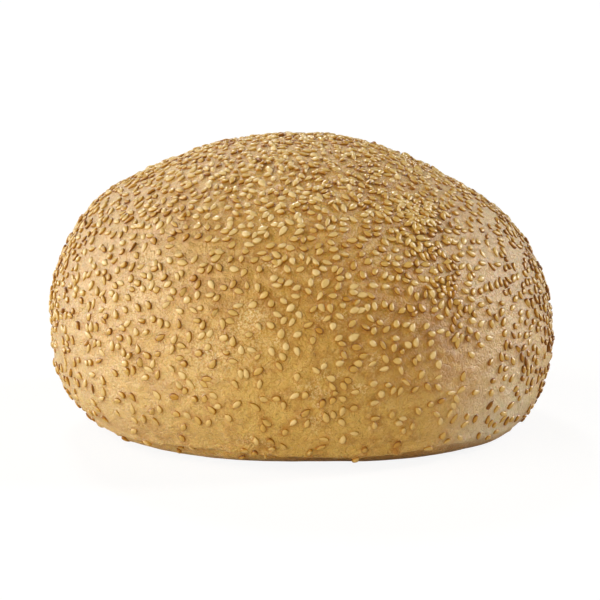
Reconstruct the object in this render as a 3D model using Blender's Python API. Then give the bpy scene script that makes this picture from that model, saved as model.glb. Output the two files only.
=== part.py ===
"""A round, seeded bread roll, baked as one piece.

The roll is one closed solid: a domed crown, a full waist, a flank that tucks under, and the flat spot
that it was baked on. It stands on the XY plane with +Z up, the centre of its bounding box over the
origin, and its front towards -Y. The sesame seeds on its crust are far too many to be sub-parts, so
this solid is the crust without them.
"""

import math

import bmesh
import bpy
from mathutils import Vector, noise

# Driving dimensions, in metres.
WAIST_RADIUS = 0.0622
WAIST_HEIGHT = 0.0257
CROWN_HEIGHT = 0.0704
FLAT_RADIUS = 0.0437

# How full each curve is: 2 is an ellipse, and more is squarer.
CROWN_FULLNESS = 2.14
FLANK_FULLNESS = 2.4

# The roll leans towards -X as it rises, by this share of its height.
LEAN = -0.068
# The lower flank swings out towards -X round SWING_HEIGHT, by SWING at most.
SWING = -0.0010
SWING_HEIGHT = 0.0100
SWING_REACH = 0.0070
# The flat spot sits this far towards +X of the rest, which the flank makes up below SLIP_TOP.
FLAT_SLIP = 0.0017
SLIP_TOP = 0.0060

# Rings and segments of the turned shape.
SEGMENTS = 72
CROWN_RINGS = 24
FLANK_RINGS = 12
FLAT_RINGS = 4

# Swells and hollows of the risen dough: (wavelength, height, place in the noise).
SWELLS = (
    (0.050, 0.0012, Vector((8.1, 9.6, 0.6))),
    (0.019, 0.0005, Vector((8.6, 2.2, 5.3))),
)
# Single bulges and hollows of the crust: (middle, reach, how far it stands out).
BULGES = (
    (Vector((0.0370, 0.0040, 0.0635)), 0.014, -0.0015),
    (Vector((-0.0330, 0.0040, 0.0630)), 0.010, -0.0013),
    (Vector((-0.0440, 0.0000, 0.0565)), 0.011, 0.0006),
    (Vector((-0.0590, 0.0000, 0.0165)), 0.007, 0.0017),
    (Vector((-0.0585, 0.0000, 0.0290)), 0.007, -0.0006),
    (Vector((-0.0510, -0.0140, 0.0055)), 0.007, -0.0007),
)
# The swells and bulges fade out over this height above the flat spot, which stays flat.
SWELL_FADE = 0.006
# The outline of the flat spot wanders in and out: (waves round it, depth, turn in degrees).
FLAT_WAVES = ((2, 0.0006, 20.0), (4, 0.0015, -90.0), (9, 0.0004, 10.0))

# Vertices closer than this are one vertex.
WELD = 0.00001

CRUST_COLOUR = (0.50, 0.29, 0.10, 1.0)
CRUST_ROUGHNESS = 0.62


def clear_scene():
    """Start with an empty scene."""
    for item in list(bpy.data.objects):
        bpy.data.objects.remove(item, do_unlink=True)


def quarter_curve(width, height, fullness, steps):
    """Points of a quarter of a superellipse, from its widest point (width, 0) to its tip (0, height)."""
    points = []
    for step in range(steps + 1):
        angle = math.pi / 2 * step / steps
        across = width * max(math.cos(angle), 0.0) ** (2 / fullness)
        along = height * math.sin(angle) ** (2 / fullness)
        points.append((across, along))
    return points


def profile():
    """The roll's outline as (radius, height) points, from the middle of the flat spot to the crown."""
    flat = [(FLAT_RADIUS * ring / FLAT_RINGS, 0.0) for ring in range(FLAT_RINGS)]
    tuck = quarter_curve(WAIST_RADIUS - FLAT_RADIUS, WAIST_HEIGHT, FLANK_FULLNESS, FLANK_RINGS)
    flank = [(FLAT_RADIUS + across, WAIST_HEIGHT - down) for across, down in reversed(tuck)]
    dome = quarter_curve(WAIST_RADIUS, CROWN_HEIGHT - WAIST_HEIGHT, CROWN_FULLNESS, CROWN_RINGS)
    crown = [(across, WAIST_HEIGHT + up) for across, up in dome[1:]]
    return flat + flank + crown


def turned_solid(outline):
    """The outline spun once round the Z axis into a closed mesh."""
    mesh = bmesh.new()
    corners = [mesh.verts.new((radius, 0.0, height)) for radius, height in outline]
    edges = [mesh.edges.new(pair) for pair in zip(corners, corners[1:])]
    bmesh.ops.spin(
        mesh,
        geom=corners + edges,
        cent=(0.0, 0.0, 0.0),
        axis=(0.0, 0.0, 1.0),
        angle=2 * math.pi,
        steps=SEGMENTS,
        use_merge=True,
    )
    bmesh.ops.remove_doubles(mesh, verts=mesh.verts[:], dist=WELD)
    bmesh.ops.recalc_face_normals(mesh, faces=mesh.faces[:])
    return mesh


def swell_at(place):
    """How far the dough stands out of, or sinks below, the turned shape at a place."""
    total = 0.0
    for wavelength, height, seed in SWELLS:
        total += height * noise.noise(place / wavelength + seed)
    for middle, reach, out in BULGES:
        total += out * math.exp(-((place - middle).length_squared) / reach**2)
    return total


def flat_wander(place):
    """How far the edge of the flat spot wanders outwards at a place's bearing."""
    bearing = math.atan2(place.y, place.x)
    return sum(
        depth * math.sin(waves * bearing + math.radians(turn)) for waves, depth, turn in FLAT_WAVES
    )


def sideways_at(height):
    """How far the middle of the roll is towards +X at a height."""
    swung = math.exp(-(((height - SWING_HEIGHT) / SWING_REACH) ** 2))
    below = max(1.0 - height / SLIP_TOP, 0.0)
    return LEAN * height + SWING * swung + FLAT_SLIP * below**2


def shape_dough(mesh):
    """Give the turned shape its swells, the wandering edge of its flat spot, and its lean."""
    mesh.normal_update()
    moves = {}
    for corner in mesh.verts:
        place = corner.co
        rise = min(place.z / SWELL_FADE, 1.0)
        outward = Vector((place.x, place.y, 0.0))
        radius = outward.length
        move = corner.normal * swell_at(place) * rise
        if radius > WELD:
            near_edge = min(radius / FLAT_RADIUS, 1.0) * (1.0 - rise)
            move += outward / radius * flat_wander(place) * near_edge
        moves[corner] = move
    for corner, move in moves.items():
        corner.co += move
        corner.co.x += sideways_at(corner.co.z)


def centre_on_origin(mesh):
    """Put the middle of the bounding box over the origin, and the flat spot on the XY plane."""
    places = [corner.co for corner in mesh.verts]
    middle_x = (min(p.x for p in places) + max(p.x for p in places)) / 2
    middle_y = (min(p.y for p in places) + max(p.y for p in places)) / 2
    bmesh.ops.translate(mesh, vec=(-middle_x, -middle_y, 0.0), verts=mesh.verts[:])


def crust_material():
    """Golden brown, dry crust."""
    material = bpy.data.materials.new("crust")
    material.use_nodes = True
    shader = material.node_tree.nodes["Principled BSDF"]
    shader.inputs["Base Color"].default_value = CRUST_COLOUR
    shader.inputs["Roughness"].default_value = CRUST_ROUGHNESS
    shader.inputs["Metallic"].default_value = 0.0
    return material


def make_roll():
    """The whole roll as one object, bread_roll."""
    mesh = turned_solid(profile())
    shape_dough(mesh)
    centre_on_origin(mesh)
    data = bpy.data.meshes.new("bread_roll")
    mesh.to_mesh(data)
    mesh.free()
    data.shade_smooth()
    data.materials.append(crust_material())
    roll = bpy.data.objects.new("bread_roll", data)
    bpy.context.scene.collection.objects.link(roll)
    return roll


clear_scene()
make_roll()
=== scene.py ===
# %% [markdown]
# # A bread roll covered in sesame seeds
# The roll is one baked dome of dough with a thin golden crust, and nearly four thousand sesame seeds
# stuck to it. This lesson takes a plain smooth solid of the right size, gives it the skin of real
# bread, sows the seeds one by one, and then lights it like a product picture.
# We begin with the plain solid. It sets the size, and nothing made later may leave its box by much,
# so its box is kept now, before anything is added.

import math
import random
from dataclasses import dataclass
from itertools import accumulate, product
from types import SimpleNamespace

import bmesh
import bpy
from mathutils import Matrix, Vector, noise
from mathutils.bvhtree import BVHTree
from mathutils.kdtree import KDTree


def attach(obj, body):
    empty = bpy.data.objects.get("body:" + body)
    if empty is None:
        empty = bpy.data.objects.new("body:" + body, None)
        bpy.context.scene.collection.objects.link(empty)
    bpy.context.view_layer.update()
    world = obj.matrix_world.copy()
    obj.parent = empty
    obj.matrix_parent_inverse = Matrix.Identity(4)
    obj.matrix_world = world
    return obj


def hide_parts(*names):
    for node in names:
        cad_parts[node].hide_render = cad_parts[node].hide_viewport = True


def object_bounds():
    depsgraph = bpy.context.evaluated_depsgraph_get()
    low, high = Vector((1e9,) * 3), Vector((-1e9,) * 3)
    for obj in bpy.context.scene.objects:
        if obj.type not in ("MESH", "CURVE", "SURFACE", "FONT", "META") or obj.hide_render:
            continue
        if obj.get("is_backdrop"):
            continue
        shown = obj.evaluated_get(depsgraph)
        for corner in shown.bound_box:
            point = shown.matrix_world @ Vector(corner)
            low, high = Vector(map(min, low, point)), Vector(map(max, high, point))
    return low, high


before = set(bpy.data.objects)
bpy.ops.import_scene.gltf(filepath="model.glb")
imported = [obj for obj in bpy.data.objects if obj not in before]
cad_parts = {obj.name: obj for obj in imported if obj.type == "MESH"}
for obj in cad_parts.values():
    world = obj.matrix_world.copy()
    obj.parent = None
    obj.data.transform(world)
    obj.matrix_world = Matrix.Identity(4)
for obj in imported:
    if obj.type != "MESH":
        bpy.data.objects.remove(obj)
CAD_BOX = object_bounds()

MM = 0.001
LOW, HIGH = CAD_BOX
CENTRE = (LOW + HIGH) / 2
ROLL_HEIGHT = HIGH.z - LOW.z
print("plain roll, in mm:", [round(side / MM, 1) for side in HIGH - LOW])

# %% [markdown]
# ## The camera
# A long lens from a little way off keeps a small thing like a roll in its true proportions, where a
# short lens close up would swell the middle. The camera looks slightly down, from just above the
# height of the roll, so that the dome, the flank and the line where it meets the table all show.

# %% The camera
LENS = 135.0
CAMERA_AWAY = 561.0 * MM
CAMERA_ELEVATION = math.radians(10.0)
AIM_RIGHT = -0.3 * MM
AIM_HEIGHT = 0.425 * ROLL_HEIGHT

aim = Vector((CENTRE.x + AIM_RIGHT, CENTRE.y, LOW.z + AIM_HEIGHT))
back = Vector((0.0, -math.cos(CAMERA_ELEVATION), math.sin(CAMERA_ELEVATION)))
camera = bpy.data.objects.new("camera", bpy.data.cameras.new("camera"))
camera.data.lens = LENS
camera.location = aim + back * CAMERA_AWAY
camera.rotation_euler = (-back).to_track_quat("-Z", "Y").to_euler()
bpy.context.scene.collection.objects.link(camera)
bpy.context.scene.camera = camera
print("camera at", [round(side, 3) for side in camera.location])

# %% [markdown]
# ## A smooth guide
# The plain roll is faceted, so that its solid stays light. Bread has no facets. A copy has its loose
# triangles welded and paired into four-sided faces, and a Subdivision Surface then rounds them off,
# which works far better on four-sided faces than on triangles. The copy is only a guide to measure
# from: it goes again once its surface has been read.

# %% The guide
WELD = 0.01 * MM
PAIRING_ANGLE = math.radians(40.0)
GUIDE_LEVELS = 2


def new_object(name, mesh):
    """A new object that holds what a bmesh holds, with its faces shaded smooth."""
    data = bpy.data.meshes.new(name)
    mesh.to_mesh(data)
    mesh.free()
    data.shade_smooth()
    made = bpy.data.objects.new(name, data)
    bpy.context.scene.collection.objects.link(made)
    return made


def smooth_guide():
    """The plain roll with its facets rounded off, as (its triangles' corners, a tree to cast rays at)."""
    dough = bmesh.new()
    dough.from_mesh(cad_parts["bread_roll"].data)
    bmesh.ops.remove_doubles(dough, verts=dough.verts[:], dist=WELD)
    bmesh.ops.join_triangles(
        dough,
        faces=dough.faces[:],
        angle_face_threshold=PAIRING_ANGLE,
        angle_shape_threshold=math.pi,
    )
    guide = new_object("guide", dough)
    rounding = guide.modifiers.new("rounding", "SUBSURF")
    rounding.levels = GUIDE_LEVELS
    rounding.render_levels = GUIDE_LEVELS
    graph = bpy.context.evaluated_depsgraph_get()
    rounded = bmesh.new()
    rounded.from_object(guide, graph)
    bmesh.ops.triangulate(rounded, faces=rounded.faces[:])
    corners = [[corner.co.copy() for corner in face.verts] for face in rounded.faces]
    tree = BVHTree.FromBMesh(rounded)
    rounded.free()
    bpy.data.objects.remove(guide, do_unlink=True)
    return corners, tree


guide_triangles, guide_tree = smooth_guide()
print("guide triangles:", len(guide_triangles))

# %% [markdown]
# ## The risen surface
# Dough rises unevenly. Its skin has soft lumps a few millimetres across, and where it was turned under
# and set down it keeps a crease with a rolled lip above it, a little way above the table, which is
# deepest in front. These could be a displacement texture, but the seeds have to sit on the same lumps,
# so one plain function says how far the skin stands out of the guide at any place, and everything else
# asks it.

# %% Lumps and the crease
# Soft lumps: (distance from one to the next, height, place in the noise).
LUMPS = (
    (11.0 * MM, 0.34 * MM, Vector((2.0, 5.0, 1.0))),
    (4.2 * MM, 0.15 * MM, Vector((7.0, 3.0, 4.0))),
)
CREASE_HEIGHT = 2.9 * MM
CREASE_WANDER = 1.1 * MM
CREASE_DEPTH = 1.35 * MM
CREASE_WIDTH = 0.75 * MM
LIP_ABOVE = 1.6 * MM
LIP_SHARE = 0.60
CREASE_ROUND = 1.7
CREASE_BREAKS = Vector((5.0, 0.0, 2.0))
CREASE_EVERYWHERE = 0.15
CREASE_IN_FRONT = 1.0
FRONT = Vector((0.05, -1.0, 0.0))
FRONT_SPREAD = 0.22
FLAT_FADE = 2.0 * MM


def lumps_at(place):
    """How far the lumps stand out at a place."""
    return sum(height * noise.noise(place / wave + start) for wave, height, start in LUMPS)


def crease_at(place):
    """How far the crease sinks in, or its lip stands out, at a place."""
    bearing = Vector((place.x, place.y, 0.0)).normalized()
    turned = bearing * CREASE_ROUND
    in_front = math.exp(-(1.0 - bearing.dot(FRONT)) / FRONT_SPREAD)
    wander = CREASE_WANDER * noise.noise(turned)
    strength = CREASE_EVERYWHERE + CREASE_IN_FRONT * in_front + noise.noise(turned + CREASE_BREAKS)
    above = place.z - LOW.z - CREASE_HEIGHT - wander
    groove = math.exp(-((above / CREASE_WIDTH) ** 2))
    lip = LIP_SHARE * math.exp(-(((above - LIP_ABOVE) / CREASE_WIDTH) ** 2))
    return CREASE_DEPTH * max(strength, 0.0) * (lip - groove)


def skin_at(place):
    """How far the skin stands out of the guide at a place. The flat spot stays flat."""
    risen = min((place.z - LOW.z) / FLAT_FADE, 1.0)
    return (lumps_at(place) + crease_at(place)) * risen


print("skin at the crown, in mm:", round(skin_at(Vector((0.0, 0.0, HIGH.z))) / MM, 3))

# %% [markdown]
# ## Sowing the seeds
# The baker wets the proved dough and dips its top into a tray of sesame, so seeds lie thick on the
# crown, thinner down the flank, and hardly at all near the base. As the dough rises in the oven the
# seeds are carried apart, some are pulled under the skin, and a few are left lying on others.
# A particle system could scatter them, but it can't keep seeds from passing through one another. So
# each seed here is thrown like a dart at the guide: where it lands is drawn at random, weighted by how
# thick the seeds lie there, and it is thrown again if its place is taken.

# %% What a sown seed is
SEED_LENGTH = 2.48 * MM
SEED_WIDTH = 1.50 * MM
SEED_THICK = 0.92 * MM
SIZE_SPREAD = 0.11


@dataclass
class Seed:
    """One seed: where it lies, which way it points and leans, and how dark it is: baked, with painted
    shade and light.
    """

    place: Vector
    up: Vector
    turn: float
    length: float
    width: float
    thick: float
    sunk: float
    lean: float
    roll: float
    roast_and_shade: float

    def axes(self):
        """The seed's own axes as a matrix of columns: along its length, across it, and up."""
        sideways = Vector((0.0, 0.0, 1.0)).cross(self.up)
        if sideways.length < WELD:
            sideways = Vector((1.0, 0.0, 0.0))
        sideways.normalize()
        forwards = self.up.cross(sideways)
        frame_of_place = Matrix((sideways, forwards, self.up)).transposed()
        turned = Matrix.Rotation(self.turn, 3, "Z")
        leant = Matrix.Rotation(self.lean, 3, "Y")
        rolled = Matrix.Rotation(self.roll, 3, "X")
        return frame_of_place @ turned @ leant @ rolled

    def along(self):
        """The direction of the seed's length."""
        return self.axes().col[0]


# %% How thick the seeds lie
def places(*rows):
    """Rows of (x, y, z, radius, amount), measured in mm, as (middle, radius, amount)."""
    return [(Vector((x, y, z)) * MM, radius * MM, amount) for x, y, z, radius, amount in rows]


# Seeds on each square millimetre, by share of the roll's height.
SEEDS_BY_HEIGHT = (
    (0.00, 0.000),
    (0.03, 0.004),
    (0.10, 0.014),
    (0.22, 0.022),
    (0.36, 0.046),
    (0.50, 0.092),
    (0.66, 0.150),
    (0.84, 0.215),
    (1.00, 0.230),
)
# Where they lie thinner or thicker than that, and how many times as thick.
THIN_AND_THICK = places(
    # The right shoulder: bare patches, and a heap in front of them.
    (44.0, -36.0, 44.0, 9.0, 0.20),
    (44.0, -20.0, 53.0, 6.0, 0.30),
    (50.0, -15.0, 44.0, 14.0, 0.70),
    (49.0, -8.0, 50.0, 14.0, 0.36),
    (27.0, -40.0, 52.0, 10.0, 2.10),
    (34.0, -46.0, 41.0, 6.0, 2.80),
    (31.0, -49.0, 41.0, 5.0, 1.60),
    # The right flank: a few clusters with clear crust below them.
    (35.0, -51.0, 32.0, 6.0, 2.40),
    (39.0, -48.0, 20.0, 9.0, 0.20),
    (60.0, -12.0, 20.0, 16.0, 1.90),
    (56.0, -26.0, 23.0, 10.0, 1.80),
    (51.0, -36.0, 25.0, 4.0, 2.00),
    (45.0, -37.0, 6.0, 3.5, 12.0),
    # The front and the left: thinner, but for one small cluster and the far edge.
    (-8.0, -59.0, 32.0, 12.0, 0.60),
    (-28.0, -50.0, 40.0, 18.0, 0.66),
    (-38.0, -44.0, 18.0, 14.0, 0.60),
    (-45.0, -28.0, 46.0, 22.0, 0.74),
    (-26.0, -47.0, 50.0, 7.0, 1.60),
    (-59.0, -14.0, 34.0, 14.0, 1.15),
)
DRIFT_WAVE = 9.0 * MM
DRIFT_ORIGIN = Vector((4.0, 1.5, 7.0))
DRIFT_STRENGTH = 0.75


def between(stops, where):
    """The value at a place on a line of (place, value) stops."""
    for (near, low), (far, high) in zip(stops, stops[1:]):
        if where <= far:
            return low + (high - low) * max(where - near, 0.0) / (far - near)
    return stops[-1][1]


def nearness(place, middle, radius):
    """1 at the middle of a patch, and fading away smoothly over its radius."""
    return math.exp(-((place - middle).length_squared) / radius**2)


def height_share(place):
    """How high a place is, from 0 at the table to 1 at the crown."""
    return (place.z - LOW.z) / ROLL_HEIGHT


def thickness_of_seeds(place):
    """Seeds on each square millimetre at a place."""
    thick = between(SEEDS_BY_HEIGHT, height_share(place))
    thick *= 1.0 + DRIFT_STRENGTH * noise.noise(place / DRIFT_WAVE + DRIFT_ORIGIN)
    for middle, radius, times in THIN_AND_THICK:
        thick *= 1.0 + (times - 1.0) * nearness(place, middle, radius)
    return max(thick, 0.0)


def tally(thickness):
    """A running total of the seeds on the guide's triangles, from their areas and a thickness rule."""
    shares = []
    for first, second, third in guide_triangles:
        area = (second - first).cross(third - first).length / 2 / MM**2
        shares.append(area * thickness((first + second + third) / 3))
    return list(accumulate(shares))


SEED_TALLY = tally(thickness_of_seeds)
print("seeds to sow:", round(SEED_TALLY[-1]))

# %% [markdown]
# No two seeds are alike. Each is drawn at random: its size, how deep it sank into the dough, how it
# leans, and how far it was baked. Roasting comes in patches, because an oven has hot places. On top of
# that the seeds on the right of the roll are made darker, as painted shade, and those on the front of
# the crown a little paler, as painted light. The draws come from one generator with a fixed seed, so
# that the same roll comes out every time.

# %% One thrown seed
LEAN_SPREAD = math.radians(4.0)
ON_EDGE_SHARE = 0.04
ON_EDGE_ROLL = (math.radians(30.0), math.radians(60.0))
SUNK_RANGE = (0.10, 0.32)
EXTRA_SUNK_LOW_DOWN = 0.14
LOW_DOWN = 0.45
ROAST_WAVE = 5.0 * MM
ROAST_ORIGIN = Vector((3.0, 9.0, 2.0))
ROAST_MEAN = 0.30
ROAST_PATCHES = 0.45
ROAST_SPREAD = 0.16
BURNT_SHARE = 0.012
BURNT_ROAST = (0.60, 0.80)
# Where the seeds are darker or paler than the rest, and by how much: baked darker in the heap and its
# clusters, and painted shade and painted light on the right side and the front.
ROAST_AND_SHADE_PLACES = places(
    # The heap on the right shoulder, and the clusters below it.
    (27.0, -43.0, 51.0, 9.0, 0.20),
    (34.0, -49.0, 39.0, 6.0, 0.22),
    (48.0, -35.0, 38.0, 5.0, 0.22),
    (51.0, -36.0, 25.0, 4.0, 0.40),
    (36.0, -51.0, 32.0, 6.0, 0.10),
    # The whole right side, darker as painted shade, and the front of the crown, paler as painted light.
    (57.0, -18.0, 33.0, 30.0, 0.27),
    (0.0, -52.0, 44.0, 20.0, -0.05),
)
sower = random.Random(2024)


def spread(around, share):
    """A size drawn near a usual one."""
    return around * (1.0 + sower.gauss(0.0, share))


def draw_roast_and_shade(place):
    """How dark the seed at a place is, from 0, pale, to 1, dark brown: baked, with painted shade and
    light.
    """
    if sower.random() < BURNT_SHARE:
        return sower.uniform(*BURNT_ROAST)
    patch = ROAST_PATCHES * noise.noise(place / ROAST_WAVE + ROAST_ORIGIN)
    for middle, radius, more in ROAST_AND_SHADE_PLACES:
        patch += more * nearness(place, middle, radius)
    return min(max(sower.gauss(ROAST_MEAN + patch, ROAST_SPREAD), 0.0), 1.0)


def throw_seed(corners):
    """A seed at a random place on a guide triangle, at a random turn."""
    first, second, third = corners
    one, two = sorted((sower.random(), sower.random()))
    landed = first * one + second * (two - one) + third * (1.0 - two)
    up = (second - first).cross(third - first).normalized()
    low_down = max(1.0 - height_share(landed) / LOW_DOWN, 0.0)
    on_edge = sower.random() < ON_EDGE_SHARE
    roll = sower.uniform(*ON_EDGE_ROLL) if on_edge else sower.gauss(0.0, LEAN_SPREAD)
    return Seed(
        place=landed + up * skin_at(landed),
        up=up,
        turn=sower.uniform(0.0, 2 * math.pi),
        length=spread(SEED_LENGTH, SIZE_SPREAD),
        width=spread(SEED_WIDTH, SIZE_SPREAD),
        thick=spread(SEED_THICK, SIZE_SPREAD),
        sunk=sower.uniform(*SUNK_RANGE) + EXTRA_SUNK_LOW_DOWN * low_down,
        lean=sower.gauss(0.0, LEAN_SPREAD),
        roll=roll,
        roast_and_shade=draw_roast_and_shade(landed),
    )


print("patches of darker or paler seeds:", len(ROAST_AND_SHADE_PLACES))

# %% [markdown]
# A dart may land anywhere, but two seeds can't lie in the same place. Testing real outlines against
# each other is slow, so every seed is stood for by three round spots along its length, and two seeds
# clash if any of their spots overlap. A grid of boxes, each remembering the seeds inside it, means
# that a new seed is only tested against its neighbours.

# %% Sowing seeds that lie apart
SPOT_REACH = 0.30
SPOT_RADIUS = 0.36
TRIES = 40
BOX = 4.0 * MM
LOWEST_SEED = 2.2 * MM


def spots(seed):
    """The three round spots that stand for a seed, as (middle, radius)."""
    reach = seed.along() * seed.length * SPOT_REACH
    radius = seed.width * SPOT_RADIUS
    return [(seed.place + reach * step, radius) for step in (-1, 0, 1)]


def box_of(place):
    """The grid box that a place is in."""
    return tuple(math.floor(side / BOX) for side in place)


def neighbours(boxes, place):
    """The spots of every seed in the boxes round a place."""
    across, along, up = box_of(place)
    for x, y, z in product((-1, 0, 1), repeat=3):
        yield from boxes.get((across + x, along + y, up + z), ())


def is_free(boxes, seed):
    """Whether a seed can lie where it landed."""
    own = spots(seed)
    for middle, radius in neighbours(boxes, seed.place):
        for own_middle, own_radius in own:
            if (middle - own_middle).length < radius + own_radius:
                return False
    return True


def sow(running_total, boxes):
    """Throw as many seeds as a tally says, each at most a few times, and keep those that find room."""
    kept = []
    for _ in range(round(running_total[-1])):
        for corners in sower.choices(guide_triangles, cum_weights=running_total, k=TRIES):
            seed = throw_seed(corners)
            if seed.place.z > LOWEST_SEED and is_free(boxes, seed):
                kept.append(seed)
                boxes.setdefault(box_of(seed.place), []).extend(spots(seed))
                break
    return kept


taken = {}
lying_seeds = sow(SEED_TALLY, taken)
print("seeds lying on the crust:", len(lying_seeds))

# %% [markdown]
# Two kinds of seed are still missing. Some were pulled under the skin as it stretched, and show only as
# soft bumps, most of them low on the flank. Others stuck on top of their neighbours, one end up on a
# seed and the other down on the crust. The first are sown like the rest but kept apart. The second
# start from a seed that already lies there, most often where seeds crowd, and slide off it along their
# own length.

# %% Seeds under the skin and seeds on others
UNDER_BY_HEIGHT = (
    (0.00, 0.000),
    (0.06, 0.005),
    (0.20, 0.014),
    (0.50, 0.014),
    (0.80, 0.008),
    (1.00, 0.006),
)
PILED_SHARE = 0.15
PILED_CROWDING = 3
PILED_LIFT = -0.10
PILED_SLIDE = (0.55, 0.80)
PILED_LEAN = (math.radians(8.0), math.radians(16.0))


def thickness_under_skin(place):
    """Seeds under the skin on each square millimetre at a place."""
    return between(UNDER_BY_HEIGHT, height_share(place))


def pile(seeds, count):
    """Seeds that lean on some of those that lie there already, mostly where seeds crowd."""
    thick = [thickness_of_seeds(seed.place) ** PILED_CROWDING for seed in seeds]
    made = []
    for under in sower.choices(seeds, thick, k=count):
        seed = throw_seed(guide_triangles[0])
        seed.place, seed.up = under.place, under.up
        seed.sunk = PILED_LIFT
        seed.lean = sower.uniform(*PILED_LEAN)
        seed.roast_and_shade = draw_roast_and_shade(under.place)
        seed.place = under.place + seed.along() * seed.length * sower.uniform(*PILED_SLIDE)
        made.append(seed)
    return made


buried_seeds = sow(tally(thickness_under_skin), taken)
piled_seeds = pile(lying_seeds, round(PILED_SHARE * len(lying_seeds)))
print("seeds under the skin:", len(buried_seeds), "and on others:", len(piled_seeds))

# %% [markdown]
# ## The crust
# The crust needs small, even faces all over, so that it can be raised round every seed. A turned
# shape crowds its faces at the top and bottom. A cube with every side cut into a grid, and then blown
# up into a ball, has nearly square faces everywhere. Each of its corners is then sent outwards from the
# middle of the roll until it meets the guide, which wraps the grid round the roll.

# %% A grid round the roll
CUTS = 119
BALL_SQUASH = 0.8
MIDDLE_HEIGHT = 0.42
MIDDLE = Vector((CENTRE.x, CENTRE.y, LOW.z + MIDDLE_HEIGHT * ROLL_HEIGHT))


def quad_ball():
    """A ball of nearly square faces, made from a cube."""
    ball = bmesh.new()
    bmesh.ops.create_cube(ball, size=2.0)
    bmesh.ops.subdivide_edges(ball, edges=ball.edges[:], cuts=CUTS, use_grid_fill=True)
    for corner in ball.verts:
        evened = [math.tan(side * math.pi / 4) for side in corner.co]
        corner.co = Vector(evened).normalized()
    return ball


def wrap_round_roll(ball):
    """Send each corner outwards onto the guide, and list the guide's slope at each."""
    slopes = []
    for corner in ball.verts:
        outwards = Vector((corner.co.x, corner.co.y, corner.co.z * BALL_SQUASH)).normalized()
        landed, slope, _, _ = guide_tree.ray_cast(MIDDLE, outwards)
        corner.co = landed
        slopes.append(slope)
    return slopes


crust_mesh = quad_ball()
crust_slopes = wrap_round_roll(crust_mesh)
print("crust faces:", len(crust_mesh.faces))

# %% [markdown]
# The skin now gets its relief. It lifts a little round each seed, where the wet dough climbed up the
# seed's side, and it bulges over each seed that it hides. The flat spot gets the small pits that steam
# leaves between dough and tray. A k-d tree finds the few seeds near a corner without asking all of
# them. The same sum notes how near a seed each corner is, because the material darkens the crust
# there: partly as toast, and partly as painted contact shade.

# %% Raising the skin round the seeds
COLLAR_HEIGHT = 0.20 * MM
COLLAR_WIDTH = 0.40
TOAST_AND_SHADE_WIDTH = 0.36
TOAST_AND_SHADE_AT_LEAST = 0.5
BULGE_HEIGHT = 0.46 * MM
BULGE_EDGE = 5
SEED_REACH = 3.4 * MM
PIT_WAVE = 2.6 * MM
PIT_DEPTH = 0.7 * MM
PIT_START = 0.30
FINE_PIT_WAVE = PIT_WAVE / 2.3
FINE_PIT_SHARE = 0.5
FLAT_TOP = 0.4 * MM


def tree_of(seeds):
    """A tree that finds the seeds near a place."""
    tree = KDTree(len(seeds))
    for number, seed in enumerate(seeds):
        tree.insert(seed.place, number)
    tree.balance()
    return tree


def seeds_near(place, tree, seeds):
    """How far out a place is from each seed near it: under 1 is inside the seed's outline."""
    for _, number, _ in tree.find_range(place, SEED_REACH):
        seed = seeds[number]
        offset = place - seed.place
        along, across = outlines[id(seed)]
        yield math.hypot(offset @ across, offset @ along), seed


def outline_of(seed):
    """A seed's length and width directions, each scaled so that its edge is at 1."""
    axes = seed.axes()
    return axes.col[0] / (seed.length / 2), axes.col[1] / (seed.width / 2)


def pits_at(place):
    """How deep the pits in the flat spot are at a place."""
    flat = max(1.0 - (place.z - LOW.z) / FLAT_TOP, 0.0)
    rough = noise.noise(place / PIT_WAVE) + FINE_PIT_SHARE * noise.noise(place / FINE_PIT_WAVE)
    return PIT_DEPTH * flat * max(rough - PIT_START, 0.0)


def raise_skin(mesh, slopes):
    """Give the wrapped grid its relief, and note on each corner how near a seed it is."""
    lying_tree, buried_tree = tree_of(lying_seeds), tree_of(buried_seeds)
    # How near a seed each corner is: the crust darkens there, as toast and as painted contact shade.
    toast_and_shade = mesh.verts.layers.float.new("toast_and_shade")
    hidden = mesh.verts.layers.float.new("hidden_seed")
    for corner, slope in zip(mesh.verts, slopes):
        skin = corner.co + slope * skin_at(corner.co)
        lift, near = 0.0, 0.0
        for out, seed in seeds_near(skin, lying_tree, lying_seeds):
            beyond = max(out - 1.0, 0.0)
            lift = max(lift, COLLAR_HEIGHT * math.exp(-((beyond / COLLAR_WIDTH) ** 2)))
            near = max(near, math.exp(-((beyond / TOAST_AND_SHADE_WIDTH) ** 2)) * (TOAST_AND_SHADE_AT_LEAST + seed.roast_and_shade))
        bulge = 0.0
        for out, seed in seeds_near(skin, buried_tree, buried_seeds):
            bulge = max(bulge, 1.0 / (1.0 + out**BULGE_EDGE))
        corner[toast_and_shade] = min(near, 1.0)
        corner[hidden] = bulge
        corner.co = skin + slope * (lift + BULGE_HEIGHT * bulge)
        corner.co.z = max(corner.co.z, LOW.z) + pits_at(corner.co)


outlines = {id(seed): outline_of(seed) for seed in lying_seeds + buried_seeds}
raise_skin(crust_mesh, crust_slopes)
bmesh.ops.recalc_face_normals(crust_mesh, faces=crust_mesh.faces[:])
crust = new_object("crust", crust_mesh)
print("crust, in mm:", [round(side / MM, 1) for side in crust.dimensions])

# %% [markdown]
# ## The seeds themselves
# A sesame seed is a flat drop: one end round, the other pointed, the faces nearly flat and the edge
# soft. A low ball of a few dozen faces, with its poles laid along the seed, only needs its outline
# drawn in towards one end. A few moulds that differ a little stop the seeds from looking stamped, and
# each mould holds what its copies keep: a flat map of the seed; how far each corner is from the middle
# of its top, which is 1 at the rim and more underneath; and a value for its roast and painted shade.

# %% Seed moulds
AROUND_SEED = 8
ALONG_SEED = 8
# Moulds: (how pointed the tip is, how much wider the round end is, how far it bends).
MOULD_KINDS = ((0.90, 0.30, 0.00), (0.60, 0.22, 0.05), (1.20, 0.34, -0.04), (0.70, 0.14, 0.03))
FACE_FLATNESS = 0.60


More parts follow.
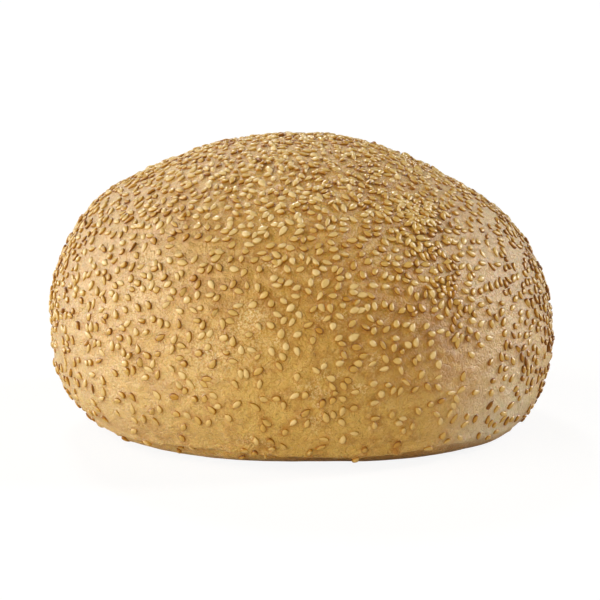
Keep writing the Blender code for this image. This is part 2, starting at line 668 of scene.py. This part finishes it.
def seed_mould(pointed, fat_end, bend):
    """One seed, a unit long, wide and thick, with its tip towards +X."""
    mould = bmesh.new()
    bmesh.ops.create_uvsphere(mould, u_segments=AROUND_SEED, v_segments=ALONG_SEED, radius=0.5)
    lay_down = Matrix.Rotation(math.pi / 2, 3, "Y")
    bmesh.ops.rotate(mould, verts=mould.verts[:], cent=(0.0, 0.0, 0.0), matrix=lay_down)
    rim = mould.verts.layers.float.new("rim")
    for corner in mould.verts:
        out = math.hypot(corner.co.x, corner.co.y) * 2
        corner[rim] = out if corner.co.z > -WELD else 2.0 - out
        along = corner.co.x * 2
        left = max(1.0 - along * along, 0.0)
        fuller = left ** (pointed * max(along, 0.0)) * (1.0 - fat_end * along)
        corner.co.y = corner.co.y * fuller + bend * along * along
        flattened = (abs(corner.co.z) * 2) ** FACE_FLATNESS / 2
        corner.co.z = math.copysign(flattened, corner.co.z) * fuller
    flat_map = mould.loops.layers.uv.new("seed_map")
    for face in mould.faces:
        for loop in face.loops:
            loop[flat_map].uv = (loop.vert.co.x + 0.5, loop.vert.co.y + 0.5)
    mould.verts.layers.float.new("roast_and_shade")
    data = bpy.data.meshes.new("seed_mould")
    mould.to_mesh(data)
    mould.free()
    return data


seed_moulds = [seed_mould(*kind) for kind in MOULD_KINDS]
print("faces on a seed:", len(seed_moulds[0].polygons))

# %% [markdown]
# Every seed is now cast from a mould and set in its place. Each is a copy joined into one of a few
# large meshes, by how high it lies, because thousands of separate objects would be slow to handle.

# %% Casting the seeds
# Pieces by share of the roll's height: (name, from, to).
SEED_PIECES = (
    ("seeds_flank", -1.0, 0.45),
    ("seeds_shoulder", 0.45, 0.78),
    ("seeds_crown", 0.78, 2.0),
)


def standing_height(seed):
    """How tall a seed stands as it is rolled over."""
    return math.hypot(seed.thick * math.cos(seed.roll), seed.width * math.sin(seed.roll))


def matrix_of(seed):
    """The matrix that puts a unit seed in a sown seed's place."""
    middle = seed.place + seed.up * standing_height(seed) * (0.5 - seed.sunk)
    sizes = Matrix.Diagonal((seed.length, seed.width, seed.thick, 1.0))
    return Matrix.Translation(middle) @ seed.axes().to_4x4() @ sizes


def cast_seeds(name, seeds):
    """All of these seeds as one piece."""
    together = bmesh.new()
    for number, seed in enumerate(seeds):
        grain = seed_moulds[number % len(seed_moulds)].copy()
        grain.transform(matrix_of(seed))
        grain.attributes["roast_and_shade"].data.foreach_set("value", [seed.roast_and_shade] * len(grain.vertices))
        together.from_mesh(grain)
        bpy.data.meshes.remove(grain)
    return new_object(name, together)


all_seeds = lying_seeds + piled_seeds
seed_pieces = []
for name, bottom, top in SEED_PIECES:
    here = [seed for seed in all_seeds if bottom <= height_share(seed.place) < top]
    seed_pieces.append(cast_seeds(name, here))
    print(name, len(here), "seeds,", len(seed_pieces[-1].data.polygons), "faces")

# %% [markdown]
# ## Materials as sums
# A material in Blender is a tree of nodes, and a long one is easier to read as sums. The class Wire
# stands for what comes out of a node's socket: adding or multiplying Wires adds Math nodes. Wiring
# holds a whole tree, and its method node adds every other kind of node, here and for the world.

# %% Wires
class Wire:
    """What comes out of a node's socket. Sums on it add Math nodes."""

    def __init__(self, wiring, socket):
        self.wiring = wiring
        self.socket = socket

    def sum(self, operation, *values):
        inputs = dict(enumerate(values))
        return self.wiring.node("ShaderNodeMath", inputs, settings={"operation": operation})

    def __add__(self, other):
        return self.sum("ADD", self, other)

    def __radd__(self, other):
        return self.sum("ADD", other, self)

    def __sub__(self, other):
        return self.sum("SUBTRACT", self, other)

    def __rsub__(self, other):
        return self.sum("SUBTRACT", other, self)

    def __mul__(self, other):
        return self.sum("MULTIPLY", self, other)

    def __rmul__(self, other):
        return self.sum("MULTIPLY", other, self)

    def __truediv__(self, other):
        return self.sum("DIVIDE", self, other)

    def __pow__(self, other):
        return self.sum("POWER", self, other)

    def __abs__(self):
        return self.sum("ABSOLUTE", self)


class Wiring:
    """A tree of nodes in the making."""

    def __init__(self, tree):
        self.tree = tree

    def feed(self, socket, value):
        """Put a value on a socket, or lead a Wire to it."""
        if isinstance(value, Wire):
            self.tree.links.new(value.socket, socket)
        else:
            socket.default_value = value

    def node(self, kind, inputs=None, output=0, settings=None, stops=None):
        """Add a node: its settings and colour stops first, then its inputs. Gives one output."""
        made = self.tree.nodes.new(kind)
        for name, value in (settings or {}).items():
            setattr(made, name, value)
        if stops:
            ramp = made.color_ramp.elements
            while len(ramp) < len(stops):
                ramp.new(1.0)
            for element, (position, colour) in zip(ramp, stops):
                element.position = position
                element.color = (*colour, 1.0)
        for name, value in (inputs or {}).items():
            self.feed(made.inputs[name], value)
        return Wire(self, made.outputs[output])

    def two_looks(self, output, for_light, for_camera):
        """Show one shader to the camera, and another to everything else."""
        ray = self.node("ShaderNodeLightPath", output="Is Camera Ray")
        either = self.node("ShaderNodeMixShader", {0: ray, 1: for_light, 2: for_camera})
        self.feed(self.tree.nodes[output].inputs["Surface"], either)


# %% [markdown]
# A Finish is the wiring of one material. It starts from the Principled shader, and its methods are
# short names for the few kinds of node that bread needs: random patches, smooth steps, round places,
# and mixes of colour.

# %% Finishes
class Finish(Wiring):
    """A material in the making."""

    def __init__(self, name):
        self.material = bpy.data.materials.new(name)
        self.material.use_nodes = True
        super().__init__(self.material.node_tree)
        self.shader = self.tree.nodes["Principled BSDF"]

    def coordinates(self):
        """Places on the object itself, in metres."""
        return self.node("ShaderNodeTexCoord", output="Object")

    def mottle(self, place, wave, detail=3.0, rough=0.55):
        """Smooth random patches, from 0 to 1, a wave apart."""
        inputs = {"Vector": place, "Scale": 1.0 / wave, "Detail": detail, "Roughness": rough}
        return self.node("ShaderNodeTexNoise", inputs)

    def cells(self, place, wave):
        """Distance to the nearest of many scattered points, a wave apart."""
        inputs = {"Vector": place, "Scale": 1.0 / wave}
        return self.node("ShaderNodeTexVoronoi", inputs, output="Distance")

    def part(self, place, axis):
        """One of the three numbers of a place: X, Y or Z."""
        return self.node("ShaderNodeSeparateXYZ", {"Vector": place}, output=axis)

    def step(self, value, low, high):
        """0 below low, 1 above high, and smooth between."""
        inputs = {"Value": value, "From Min": low, "From Max": high}
        settings = {"interpolation_type": "SMOOTHSTEP"}
        return self.node("ShaderNodeMapRange", inputs, settings=settings)

    def near(self, place, middle, radius):
        """1 at a place on the object, falling smoothly to 0 a radius away."""
        inputs = {0: place, 1: middle}
        settings = {"operation": "DISTANCE"}
        away = self.node("ShaderNodeVectorMath", inputs, output="Value", settings=settings)
        return 1.0 - self.step(away, 0.0, radius)

    def patches(self, place, listed, mask):
        """The sum of a list of (middle, radius, amount), broken up by a mask."""
        total = 0.0
        for middle, radius, more in listed:
            total = total + self.near(place, middle, radius) * mask * more
        return total

    def blend(self, share, first, second):
        """A mix of two colours."""
        inputs = {0: share, 6: first, 7: second}
        return self.node("ShaderNodeMix", inputs, output=2, settings={"data_type": "RGBA"})

    def attribute(self, name):
        """A value that the mesh holds."""
        return self.node("ShaderNodeAttribute", output="Fac", settings={"attribute_name": name})

    def colour(self, red, green, blue):
        """A colour for a socket."""
        return (red, green, blue, 1.0)

    def relief(self, bumps, strength, distance):
        """Lead a pattern of bumps to the shader's normal."""
        inputs = {"Strength": strength, "Distance": distance, "Height": bumps}
        self.feed(self.shader.inputs["Normal"], self.node("ShaderNodeBump", inputs, output="Normal"))

    def fix(self, **values):
        """Set sockets that are the same all over, named with _ for a space."""
        for name, value in values.items():
            self.shader.inputs[name.replace("_", " ")].default_value = value


# %% [markdown]
# ## The crust's finish
# Crust is browned starch and protein, with tiny blisters, dry flour-dull patches and hairline wrinkles.
# A painted image would blur close up and would need a flat map of the roll, so each of its patterns
# is made from noise instead, at the size that the real one has, and read at places on the object.

# %% Patterns in the crust
# Random patches: (from one to the next, how many finer layers they have, how strong those are).
BROAD_NOISE = (24.0 * MM, 2.0, 0.55)
PATCH_NOISE = (4.5 * MM, 4.0, 0.65)
DRY_NOISE = (2.4 * MM, 5.0, 0.70)
GRAIN_NOISE = (0.50 * MM, 3.0, 0.70)
FLOUR_NOISE = (6.5 * MM, 2.0, 0.55)
FOLD_NOISE = (1.9 * MM, 3.0, 0.55)
BLISTER_WAVE = 0.9 * MM
WRINKLE_SHARPNESS = 14.0


def crust_patterns(crust):
    """The patterns that the crust's colour and relief are made from."""
    place = crust.coordinates()
    folds = crust.mottle(place, *FOLD_NOISE)
    return SimpleNamespace(
        place=place,
        height=crust.part(place, "Z") / ROLL_HEIGHT,
        across=crust.part(place, "X"),
        broad=crust.mottle(place, *BROAD_NOISE),
        patches=crust.mottle(place, *PATCH_NOISE),
        dry=crust.mottle(place, *DRY_NOISE),
        grain=crust.mottle(place, *GRAIN_NOISE),
        flour=crust.mottle(place, *FLOUR_NOISE),
        blister=crust.cells(place, BLISTER_WAVE),
        wrinkles=(1.0 - abs(folds - 0.5) * 2.0) ** WRINKLE_SHARPNESS,
    )


print("finest grain of the crust, in mm:", GRAIN_NOISE[0] / MM)

# %% [markdown]
# The colour is laid on in thin layers, as a painter glazes, and the oven's work comes first. The crust is
# darker and redder where it was hottest, and in some listed places. It is also darker round the seeds,
# partly toast and partly painted contact shade. It is pale where the dough stretched late. The lower
# flank was shaded from the heat and stays a light yellow gold, and the flat spot baked brown on the
# tray, most of all to the right. Each layer gets a function that says how much of it shows where.

# %% What the oven did, and painted shade round the seeds
CRUST_TAN = (0.53, 0.310, 0.047)
CRUST_GOLD = (0.605, 0.415, 0.115)
CRUST_PALE = (0.74, 0.530, 0.205)
CRUST_BROWN = (0.36, 0.165, 0.018)
# Toast and painted contact shade round the seeds.
CRUST_TOAST_AND_SHADE = (0.40, 0.165, 0.008)
BASE_BROWN = (0.34, 0.180, 0.060)
GOLD_RANGE = (0.25, 0.75)
GOLD_WANDER = 0.25
BROWN_RANGE = (0.46, 0.66)
BROWN_SHARE = 0.55
TOAST_AND_SHADE_RANGE = (0.30, 0.65)
TOAST_AND_SHADE_SHARES = (0.50, 0.4)
PALE_DRY_RANGE = (0.50, 0.68)
PALE_DRY_SHARE = 0.55
PALE_GRAIN_RANGE = (0.54, 0.70)
PALE_GRAIN_SHARE = 0.35
# Where the crust is darker than the rest, and by how much.
DARKER_PLACES = places(
    # The front, right of the middle.
    (20.0, -56.0, 37.0, 15.0, 0.35),
    (2.0, -49.0, 49.0, 16.0, 0.18),
    (27.0, -48.0, 45.0, 13.0, 0.35),
    (26.0, -56.0, 29.0, 17.0, 0.60),
    # Under the clusters of seeds on the right flank, and below them.
    (35.0, -51.0, 32.0, 13.0, 0.72),
    (51.0, -36.0, 25.0, 7.0, 0.50),
    (40.0, -47.0, 21.0, 17.0, 0.75),
)
DARKER_RANGE = (0.25, 0.60)
DARK_GRAIN_RANGE = (0.34, 0.48)
DARK_GRAIN_SHARE = 0.45
BASE_RANGE = (-0.006, 0.042)
BASE_WANDER = 0.03
HOTTER_RANGE = (-18.0 * MM, 2.0 * MM)
HOTTER_RISE = 0.014
SCORCHED_SHARES = (0.35, 0.60)


def gold_low_down(crust, look):
    """How much of the shaded lower flank's gold shows."""
    return 1.0 - crust.step(look.height + look.broad * GOLD_WANDER, *GOLD_RANGE)


def brown_patches(crust, look):
    """How much of the hotter, browner crust shows."""
    return crust.step(look.patches, *BROWN_RANGE) * BROWN_SHARE


def toast_and_shade_near_seeds(crust, look):
    """How much darker the crust is round the seeds: partly toast, partly painted contact shade."""
    least, more = TOAST_AND_SHADE_SHARES
    return crust.attribute("toast_and_shade") * (least + crust.step(look.patches, *TOAST_AND_SHADE_RANGE) * more)


def pale_stretched(crust, look):
    """How much of the pale, late-stretched crust shows."""
    dry = crust.step(look.dry, *PALE_DRY_RANGE) * PALE_DRY_SHARE
    return dry + crust.step(look.grain, *PALE_GRAIN_RANGE) * PALE_GRAIN_SHARE


def darker_places(crust, look):
    """How much darker the listed places are."""
    return crust.patches(look.place, DARKER_PLACES, crust.step(look.dry, *DARKER_RANGE))


def dark_grain(crust, look):
    """How much of the darkest specks shows."""
    return (1.0 - crust.step(look.grain, *DARK_GRAIN_RANGE)) * DARK_GRAIN_SHARE


def scorched_below(crust, look):
    """How much the tray browned the flat spot and the edge above it."""
    least, more = SCORCHED_SHARES
    hotter = crust.step(look.across, *HOTTER_RANGE)
    height = look.height - look.patches * BASE_WANDER - hotter * HOTTER_RISE
    return (1.0 - crust.step(height, *BASE_RANGE)) * (least + hotter * more)


print("browner places:", len(DARKER_PLACES))

# %% [markdown]
# Then comes the flour from the baker's hands and bench. It lies as dull specks in patches, though the
# broadest patch, on the right shoulder, is painted sheen. Both sides of the roll get a painted sheen
# that makes them paler and less yellow, as the lamps whiten the crust seen edge on, and the lower right
# corner gets a grey-white painted reflection of the white floor.

# %% Flour, painted sheen and painted reflection
# Flour's colour, also used for the painted sheen patch on the right shoulder.
CRUST_FLOUR_AND_SHEEN = (0.80, 0.660, 0.400)
# Painted sheen: the paler, less yellow tone that the lamps give both sides of the crust seen edge on.
CRUST_SHEEN_PAINT = (0.79, 0.625, 0.425)
# Grey-white painted reflection of the white floor on the lower right corner.
CRUST_REFLECTION_PAINT = (0.77, 0.710, 0.610)
FLOUR_RANGE = (0.60, 0.70)
FLOUR_GRAIN_RANGE = (0.48, 0.60)
FLOUR_AND_SHEEN_SHARE = 0.6
# Where more flour specks show, and how much; the right shoulder's broad patch is painted sheen.
FLOUR_AND_SHEEN_PLACES = places(
    # The front and the left.
    (-11.0, -60.0, 37.0, 5.0, 0.90),
    (-12.0, -59.0, 31.0, 13.0, 0.50),
    (-21.0, -57.0, 28.0, 10.0, 0.90),
    (-34.0, -45.0, 42.0, 15.0, 0.80),
    # The right shoulder.
    (18.0, -50.0, 49.0, 6.0, 0.60),
    # The right shoulder, whose last and broadest patch is painted sheen rather than flour.
    (30.0, -47.0, 46.0, 6.0, 0.80),
    (49.0, -12.0, 50.0, 16.0, 1.10),
)
FLOUR_AND_SHEEN_GRAIN_RANGE = (0.46, 0.56)
# Where the painted sheen starts and where it is full, across the roll, how far its edges wander, and
# how much of it shows.
SHEEN_PAINT_RIGHT = (30.0 * MM, 54.0 * MM)
SHEEN_PAINT_LEFT = (-38.0 * MM, 2.0 * MM)
SHEEN_PAINT_WANDER = 14.0 * MM
SHEEN_PAINT_SHARES = (0.38, 0.30)
# The corner that gets the painted reflection: (middle, radius).
REFLECTING_CORNER = (Vector((47.0, -37.0, 4.0)) * MM, 25.0 * MM)
REFLECTION_PAINT_SHARE = 0.95


def flour_specks_and_sheen(crust, look):
    """How much loose flour shows, with the listed patches, one of them painted sheen."""
    loose = crust.step(look.flour, *FLOUR_RANGE) * crust.step(look.grain, *FLOUR_GRAIN_RANGE)
    specks = crust.step(look.grain, *FLOUR_AND_SHEEN_GRAIN_RANGE)
    return (loose + crust.patches(look.place, FLOUR_AND_SHEEN_PLACES, specks)) * FLOUR_AND_SHEEN_SHARE


def painted_side_sheen(crust, look):
    """How much of the painted sheen on either side shows."""
    right_share, left_share = SHEEN_PAINT_SHARES
    across = look.across + look.broad * SHEEN_PAINT_WANDER
    to_the_right = crust.step(across, *SHEEN_PAINT_RIGHT)
    to_the_left = 1.0 - crust.step(across, *SHEEN_PAINT_LEFT)
    return to_the_right * right_share + to_the_left * left_share


def painted_corner_reflection(crust, look):
    """How much of the grey-white painted reflection on the lower right corner shows."""
    return crust.near(look.place, *REFLECTING_CORNER) * REFLECTION_PAINT_SHARE


print("floured places:", len(FLOUR_AND_SHEEN_PLACES))

# %% [markdown]
# Last, the layers are laid over each other and the relief too fine for the mesh is added as bumps. A
# little sheen stands for the flour's fuzz, seen edge on. Light also creeps a fraction of a millimetre
# into bread, the red part furthest, and warms the edges of the shadows: that is the subsurface part.

# %% Crust finish
# The layers from the bottom up: (how much of it shows, its colour).
CRUST_LAYERS = (
    (gold_low_down, CRUST_GOLD),
    (brown_patches, CRUST_BROWN),
    (toast_and_shade_near_seeds, CRUST_TOAST_AND_SHADE),
    (pale_stretched, CRUST_PALE),
    (flour_specks_and_sheen, CRUST_FLOUR_AND_SHEEN),
    (darker_places, CRUST_BROWN),
    (painted_side_sheen, CRUST_SHEEN_PAINT),
    (painted_corner_reflection, CRUST_REFLECTION_PAINT),
    (dark_grain, CRUST_BROWN),
    (scorched_below, BASE_BROWN),
)
CRUST_ROUGHNESS = (0.44, 0.22)
GRAIN_BUMPS = 0.7
DRY_BUMPS = 1.5
BLISTER_BUMPS = 0.35
BLISTER_RANGE = (0.05, 0.5)
WRINKLE_BUMPS = 0.5
CRUST_BUMP_STRENGTH = 0.9
CRUST_BUMP_HEIGHT = 0.30 * MM


def crust_bumps(crust, look):
    """The crust's relief that is too fine for its mesh."""
    blisters = 1.0 - crust.step(look.blister, *BLISTER_RANGE)
    raised = look.grain * GRAIN_BUMPS + look.dry * DRY_BUMPS + blisters * BLISTER_BUMPS
    return raised - look.wrinkles * WRINKLE_BUMPS


def crust_finish():
    """Baked crust."""
    crust = Finish("crust")
    look = crust_patterns(crust)
    colour = crust.colour(*CRUST_TAN)
    for cover, tone in CRUST_LAYERS:
        colour = crust.blend(cover(crust, look), colour, crust.colour(*tone))
    smoothest, rougher = CRUST_ROUGHNESS
    crust.feed(crust.shader.inputs["Base Color"], colour)
    crust.feed(crust.shader.inputs["Roughness"], smoothest + look.dry * rougher)
    crust.relief(crust_bumps(crust, look), CRUST_BUMP_STRENGTH, CRUST_BUMP_HEIGHT)
    crust.fix(
        Specular_IOR_Level=0.8,
        Sheen_Weight=0.18,
        Sheen_Roughness=0.3,
        Subsurface_Weight=0.30,
        Subsurface_Radius=(1.0, 0.42, 0.12),
        Subsurface_Scale=0.45 * MM,
    )
    return crust.material


crust.data.materials.append(crust_finish())
print("crust nodes:", len(crust.data.materials[0].node_tree.nodes))

# %% [markdown]
# ## The seeds' finish
# Hulled sesame is creamy white, and it takes its colour in the oven: gold first, then orange brown,
# quickest at the thin tip and edge. One colour scale holds the whole of that. The roast and shade value
# on each seed says how far along the scale it is, and its tip and rim are moved further along. The
# rim's darkening is partly roast and partly painted contact shade, and the underside's is painted shade.

# %% Seed finish
# How far roasted, and the colour then.
SEED_STOPS = (
    (0.00, (0.70, 0.545, 0.275)),
    (0.35, (0.575, 0.395, 0.125)),
    (0.60, (0.47, 0.265, 0.046)),
    (0.80, (0.385, 0.172, 0.012)),
    (1.00, (0.22, 0.080, 0.006)),
)
ROAST_SCALE = 0.8
TIP_RANGE = (0.62, 1.0)
TIP_ROAST = 0.10
RIM_RANGE = (0.70, 0.97)
RIM_ROAST_AND_SHADE = 0.54
UNDER_RANGE = (1.0, 1.4)
UNDER_PAINTED_SHADE = 0.26
STREAK_WAVE = 0.8 * MM
STREAK_ROAST = 0.36
SHINE_WAVE = 1.5 * MM
SEED_ROUGHNESS = (0.22, 0.16)
SEED_GRAIN_WAVE = 0.35 * MM
SEED_BUMP_STRENGTH = 0.25
SEED_BUMP_HEIGHT = 0.06 * MM


def seed_finish():
    """Baked sesame."""
    seed = Finish("sesame")
    place = seed.coordinates()
    on_seed = seed.node("ShaderNodeUVMap", settings={"uv_map": "seed_map"})
    tip = seed.step(seed.part(on_seed, "X"), *TIP_RANGE) * TIP_ROAST
    rim = seed.attribute("rim")
    # The rim darkens partly as roast and partly as painted contact shade, the underside as painted shade.
    edge = seed.step(rim, *RIM_RANGE) * RIM_ROAST_AND_SHADE + seed.step(rim, *UNDER_RANGE) * UNDER_PAINTED_SHADE
    streaks = (seed.mottle(place, STREAK_WAVE) - 0.5) * STREAK_ROAST
    roast_and_shade = seed.attribute("roast_and_shade") * ROAST_SCALE + tip + edge + streaks
    smoothest, rougher = SEED_ROUGHNESS
    colour = seed.node("ShaderNodeValToRGB", {"Fac": roast_and_shade}, stops=SEED_STOPS)
    seed.feed(seed.shader.inputs["Base Color"], colour)
    seed.feed(seed.shader.inputs["Roughness"], smoothest + seed.mottle(place, SHINE_WAVE) * rougher)
    seed.relief(seed.mottle(place, SEED_GRAIN_WAVE), SEED_BUMP_STRENGTH, SEED_BUMP_HEIGHT)
    return seed.material


sesame = seed_finish()
for piece in seed_pieces:
    piece.data.materials.append(sesame)
print("seed nodes:", len(sesame.node_tree.nodes))

# %% [markdown]
# ## The floor
# The roll stands on a plain white table that glows a little, as one lit from inside does, so that its
# shadow stays faint. White light from below would make the roll's golden flank look grey, so the floor
# has two looks, one for the camera and one for the light that it sends back: the camera sees the white
# one, and the roll is lit by a warm matt one. A Mix Shader picks between them, by whether a ray of
# light comes from the camera.

# %% Floor
FLOOR_RADIUS = 40.0
FLOOR_SIDES = 96
FLOOR_DROP = 0.05 * MM
FLOOR_TONE = (0.12, 0.12, 0.12)
FLOOR_ROUGHNESS = 0.9
FLOOR_GLOW = 0.90
FLOOR_BOUNCE = (0.84, 0.73, 0.54)
WHITE = (1.0, 1.0, 1.0, 1.0)


def floor_finish():
    """White to the camera, and a warm matt surface to everything else."""
    paint = Finish("floor")
    paint.fix(
        Base_Color=paint.colour(*FLOOR_TONE),
        Roughness=FLOOR_ROUGHNESS,
        Specular_IOR_Level=0.0,
        Emission_Color=WHITE,
        Emission_Strength=FLOOR_GLOW,
    )
    bounce = paint.node("ShaderNodeBsdfDiffuse", {"Color": paint.colour(*FLOOR_BOUNCE)})
    white = Wire(paint, paint.shader.outputs[0])
    paint.two_looks("Material Output", for_light=bounce, for_camera=white)
    return paint.material


def add_floor():
    """A plain pale floor."""
    disc = bmesh.new()
    bmesh.ops.create_circle(disc, cap_ends=True, segments=FLOOR_SIDES, radius=FLOOR_RADIUS)
    bmesh.ops.translate(disc, verts=disc.verts[:], vec=(0.0, 0.0, LOW.z - FLOOR_DROP))
    floor = new_object("floor", disc)
    floor.data.materials.append(floor_finish())
    floor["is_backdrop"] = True


add_floor()
print("floor radius, in m:", FLOOR_RADIUS)

# %% [markdown]
# ## The lights
# Wide suns stand for the soft lights of a studio, because a sun lights a scene evenly however far away
# it is. A warm light on the left models the dome, a weaker and cooler one comes from the right, and one
# from behind and above draws the crown's edge. A lamp gives a surface both its brightness and its
# shine, and here the two are also set apart: "shine" suns make only highlights, low on either side,
# and "glow" suns only brighten, from the left and the front. The world fills the shadows with a faint
# warm light from all round, and like the floor it looks white to the camera.

# %% Lights
WORLD_LIGHT = 0.07
WORLD_TINT = (1.0, 0.76, 0.34, 1.0)
# Lights: (name, where it shines from, strength, width in degrees, colour, what it makes).
SUNS = (
    ("left_key", Vector((-0.80, -0.36, 0.49)), 1.85, 60.0, (1.0, 0.96, 0.89), "both"),
    ("left_fill", Vector((-0.78, -0.58, 0.08)), 1.44, 120.0, (1.0, 0.89, 0.66), "glow"),
    ("left_shine", Vector((-0.92, 0.34, 0.16)), 4.2, 50.0, (1.0, 0.99, 0.97), "shine"),
    ("right_key", Vector((0.82, 0.14, 0.56)), 1.5, 14.0, (1.0, 0.97, 0.92), "both"),
    ("right_shine", Vector((0.88, 0.30, 0.36)), 3.2, 45.0, (1.0, 0.99, 0.97), "shine"),
    ("top_light", Vector((-0.20, 0.74, 0.64)), 1.3, 10.0, (1.0, 1.0, 1.0), "both"),
    ("front_light", Vector((-0.16, -0.98, 0.04)), 1.38, 60.0, (1.0, 0.90, 0.69), "glow"),
)


def add_suns():
    """The studio's soft lights."""
    for name, source, strength, width, tint, makes in SUNS:
        sun = bpy.data.lights.new(name, "SUN")
        sun.energy = strength
        sun.angle = math.radians(width)
        sun.color = tint
        holder = bpy.data.objects.new(name, sun)
        holder.rotation_euler = source.to_track_quat("Z", "Y").to_euler()
        holder.visible_glossy = makes != "glow"
        holder.visible_diffuse = makes != "shine"
        bpy.context.scene.collection.objects.link(holder)


def add_world():
    """Faint warm light from all round, which is seen as plain white."""
    world = bpy.data.worlds.new("studio")
    world.use_nodes = True
    bpy.context.scene.world = world
    world.node_tree.nodes.remove(world.node_tree.nodes["Background"])
    air = Wiring(world.node_tree)
    warm = air.node("ShaderNodeBackground", {"Color": WORLD_TINT, "Strength": WORLD_LIGHT})
    white = air.node("ShaderNodeBackground", {"Color": WHITE})
    air.two_looks("World Output", for_light=warm, for_camera=white)


add_suns()
add_world()
bpy.context.scene.view_settings.view_transform = "Standard"
print("lights:", [name for name, *_ in SUNS])

# %% [markdown]
# ## Handing over
# Last, each piece is told what it moves with, and the crust takes the place of the plain roll. The two
# boxes are printed so that they can be compared.

# %% Hand over
for piece in [crust] + seed_pieces:
    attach(piece, "root")
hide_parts("bread_roll")

boxes = {"cad": CAD_BOX, "visual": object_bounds()}
{name: [list(corner) for corner in box] for name, box in boxes.items()}
print({name: [round(side / MM, 1) for side in box[1] - box[0]] for name, box in boxes.items()})
